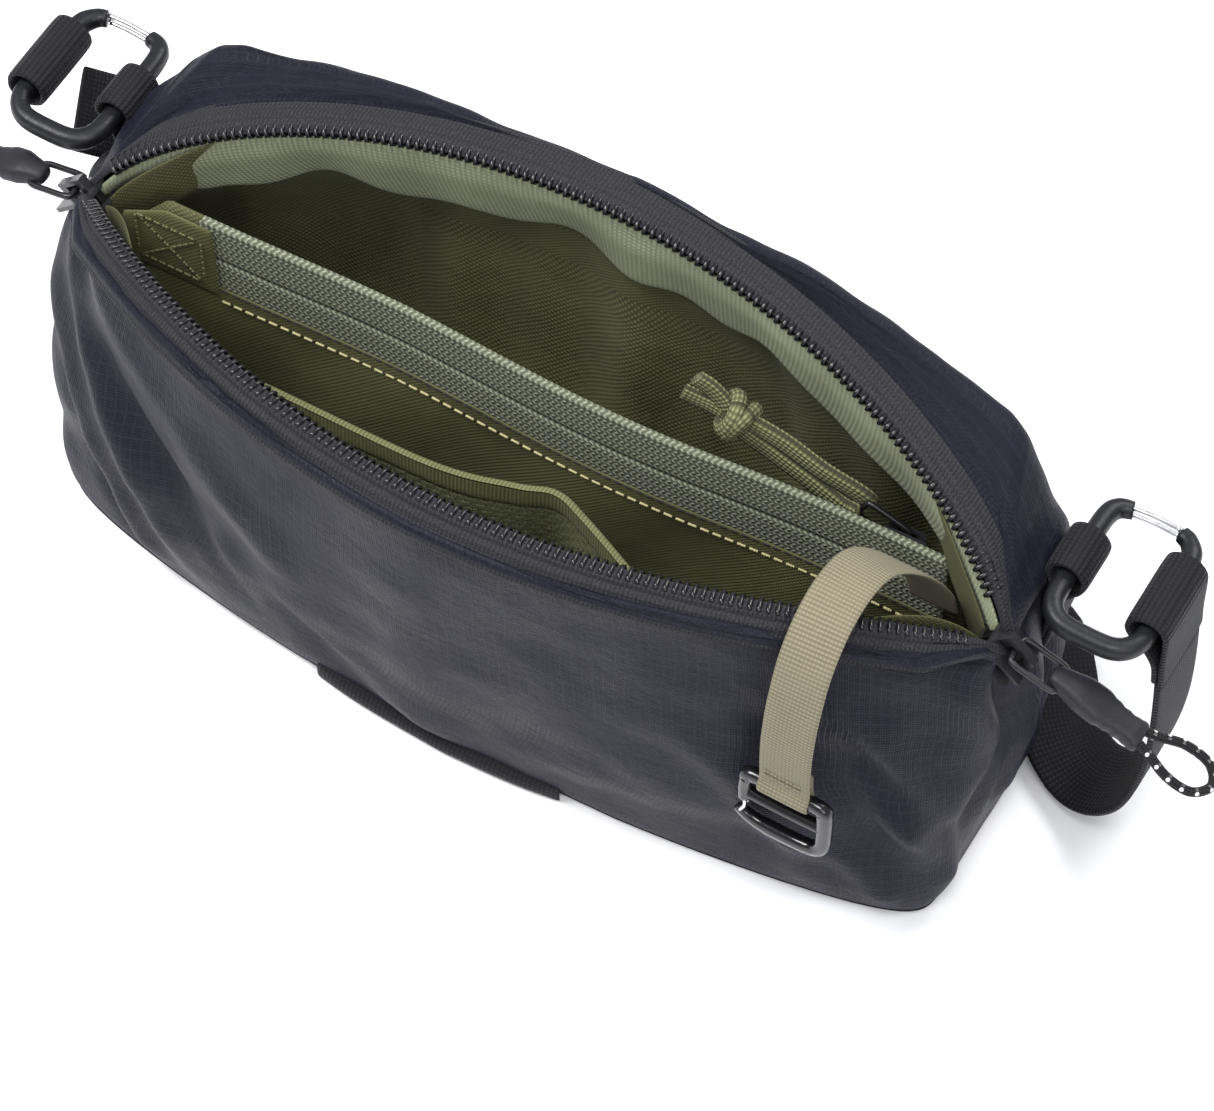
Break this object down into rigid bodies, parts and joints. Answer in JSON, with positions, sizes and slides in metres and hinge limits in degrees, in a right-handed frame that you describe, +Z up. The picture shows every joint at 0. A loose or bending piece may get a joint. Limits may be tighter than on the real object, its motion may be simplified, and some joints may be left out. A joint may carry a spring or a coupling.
{
  "type": "organizer pouch",
  "caption": "Soft zipped organizer pouch held open, with an inner zip divider, mesh pocket, key hook on a ribbon, end clips and a folded shoulder strap.",
  "frame": {"origin": "middle of the flat base, on the surface that the pouch stands on", "axes": "+X along the pouch towards its right end, -Y towards the front panel with the key hook, +Z up through the mouth"},
  "size_m": [0.3263, 0.1209, 0.1224],
  "materials": {
    "shell_fabric": "fine grid-weave nylon, dark charcoal navy",
    "lining_fabric": "fine dobby weave, dark olive",
    "facing_grosgrain": "ribbed grosgrain, sage green",
    "black_webbing": "ribbed flat webbing, black",
    "tie_band": "hook-and-loop band, black",
    "zip_tape": "herringbone zip tape, charcoal",
    "zip_coil": "moulded nylon coil, black",
    "inner_zip_tape": "knitted zip tape, grey green",
    "mesh": "open mesh, dark olive",
    "elastic_binding": "ribbed elastic binding, olive",
    "key_ribbon": "fine grosgrain ribbon, khaki",
    "gloss_hook": "polished moulded acetal, black",
    "steel_wire": "bent spring wire",
    "matte_clip": "satin moulded acetal, black",
    "slider_metal": "black lacquered die casting",
    "grip_rubber": "soft moulded rubber, dark grey",
    "flecked_cord": "thin braided cord, black with pale flecks",
    "olive_braid": "flat braided cord, olive"
  },
  "bodies": {
    "pouch": {"back_lining": "lining_fabric", "back_panel": "shell_fabric", "base_binding": "black_webbing", "base_panel": "shell_fabric", "divider_back_layer": "lining_fabric", "divider_front_layer": "lining_fabric", "divider_zip_tab": "lining_fabric", "divider_zip_tape_lower": "inner_zip_tape", "divider_zip_tape_upper": "inner_zip_tape", "facing_band_back": "facing_grosgrain", "facing_band_front": "facing_grosgrain", "front_lining": "lining_fabric", "front_panel": "shell_fabric", "key_ribbon": "key_ribbon", "left_end_panel": "shell_fabric", "left_webbing_tab": "black_webbing", "mesh_pocket": "mesh", "pocket_binding": "elastic_binding", "right_end_panel": "shell_fabric", "right_webbing_tab": "black_webbing", "strap_hank": "black_webbing", "strap_left_run": "black_webbing", "strap_right_run": "black_webbing", "strap_tie": "tie_band", "zip_tape_back": "zip_tape", "zip_tape_front": "zip_tape", "zip_teeth_back": "zip_coil", "zip_teeth_front": "zip_coil"},
    "left_slider": {"left_zip_slider": "slider_metal"},
    "left_pull": {"left_pull_bail": "slider_metal", "left_pull_grip": "grip_rubber", "left_pull_loop": "flecked_cord"},
    "right_slider": {"right_zip_slider": "slider_metal"},
    "right_pull": {"right_pull_bail": "slider_metal", "right_pull_grip": "grip_rubber", "right_pull_loop": "flecked_cord"},
    "left_clip": {"left_carabiner": "matte_clip", "left_strap_end": "black_webbing"},
    "left_gate": {"left_carabiner_gate": "steel_wire"},
    "right_clip": {"right_carabiner": "matte_clip", "right_strap_end": "black_webbing"},
    "right_gate": {"right_carabiner_gate": "steel_wire"},
    "inner_slider": {"divider_zip_slider": "slider_metal"},
    "inner_pull": {"divider_pull_bail": "slider_metal", "divider_pull_cord": "olive_braid"},
    "key_clip": {"key_hook": "gloss_hook"},
    "key_gate": {"key_hook_gate": "steel_wire"}
  },
  "joints": [
    {"name": "left_slider_travel", "type": "slide", "parent": "pouch", "child": "left_slider", "axis": [0.7071, 0, 0.7071], "range_m": [0, 0.012]},
    {"name": "left_pull_swing", "type": "hinge", "parent": "left_slider", "child": "left_pull", "pos_m": [-0.12079, -0.003, 0.08779], "axis": [0, 1, 0], "range_deg": [0, 75]},
    {"name": "right_slider_travel", "type": "slide", "parent": "pouch", "child": "right_slider", "axis": [-0.7071, 0, 0.7071], "range_m": [0, 0.012]},
    {"name": "right_pull_swing", "type": "hinge", "parent": "right_slider", "child": "right_pull", "pos_m": [0.12079, -0.003, 0.08779], "axis": [0, -1, 0], "range_deg": [0, 70]},
    {"name": "left_clip_swing", "type": "hinge", "parent": "pouch", "child": "left_clip", "pos_m": [-0.1225, 0.021, 0.093], "axis": [0, 1, 0], "range_deg": [0, 25]},
    {"name": "left_gate_press", "type": "hinge", "parent": "left_clip", "child": "left_gate", "pos_m": [-0.1393, 0.0044, 0.093], "axis": [0, 0, 1], "range_deg": [0, 20], "stiffness_Nm_per_rad": 0.02, "springref_deg": -11.46},
    {"name": "right_clip_swing", "type": "hinge", "parent": "pouch", "child": "right_clip", "pos_m": [0.1225, 0.021, 0.093], "axis": [0, -1, 0], "range_deg": [0, 25]},
    {"name": "right_gate_press", "type": "hinge", "parent": "right_clip", "child": "right_gate", "pos_m": [0.1393, 0.0376, 0.093], "axis": [0, 0, 1], "range_deg": [0, 20], "stiffness_Nm_per_rad": 0.02, "springref_deg": -11.46},
    {"name": "divider_slider_travel", "type": "slide", "parent": "pouch", "child": "inner_slider", "axis": [-0.997, -0.0575, 0.0523], "range_m": [0, 0.09]},
    {"name": "divider_pull_swing", "type": "hinge", "parent": "inner_slider", "child": "inner_pull", "pos_m": [0.0834, 0.01687, 0.07549], "axis": [-0.4061, -0.0234, -0.9135], "range_deg": [0, 10]},
    {"name": "key_hook_swing", "type": "hinge", "parent": "pouch", "child": "key_clip", "pos_m": [0.089, -0.0456, 0.062], "axis": [1, 0, 0], "range_deg": [-100, 0]},
    {"name": "key_gate_press", "type": "hinge", "parent": "key_clip", "child": "key_gate", "pos_m": [0.0794, -0.0456, 0.05135], "axis": [0, -1, 0], "range_deg": [0, 15], "stiffness_Nm_per_rad": 0.002, "springref_deg": -11.46}
  ]
}
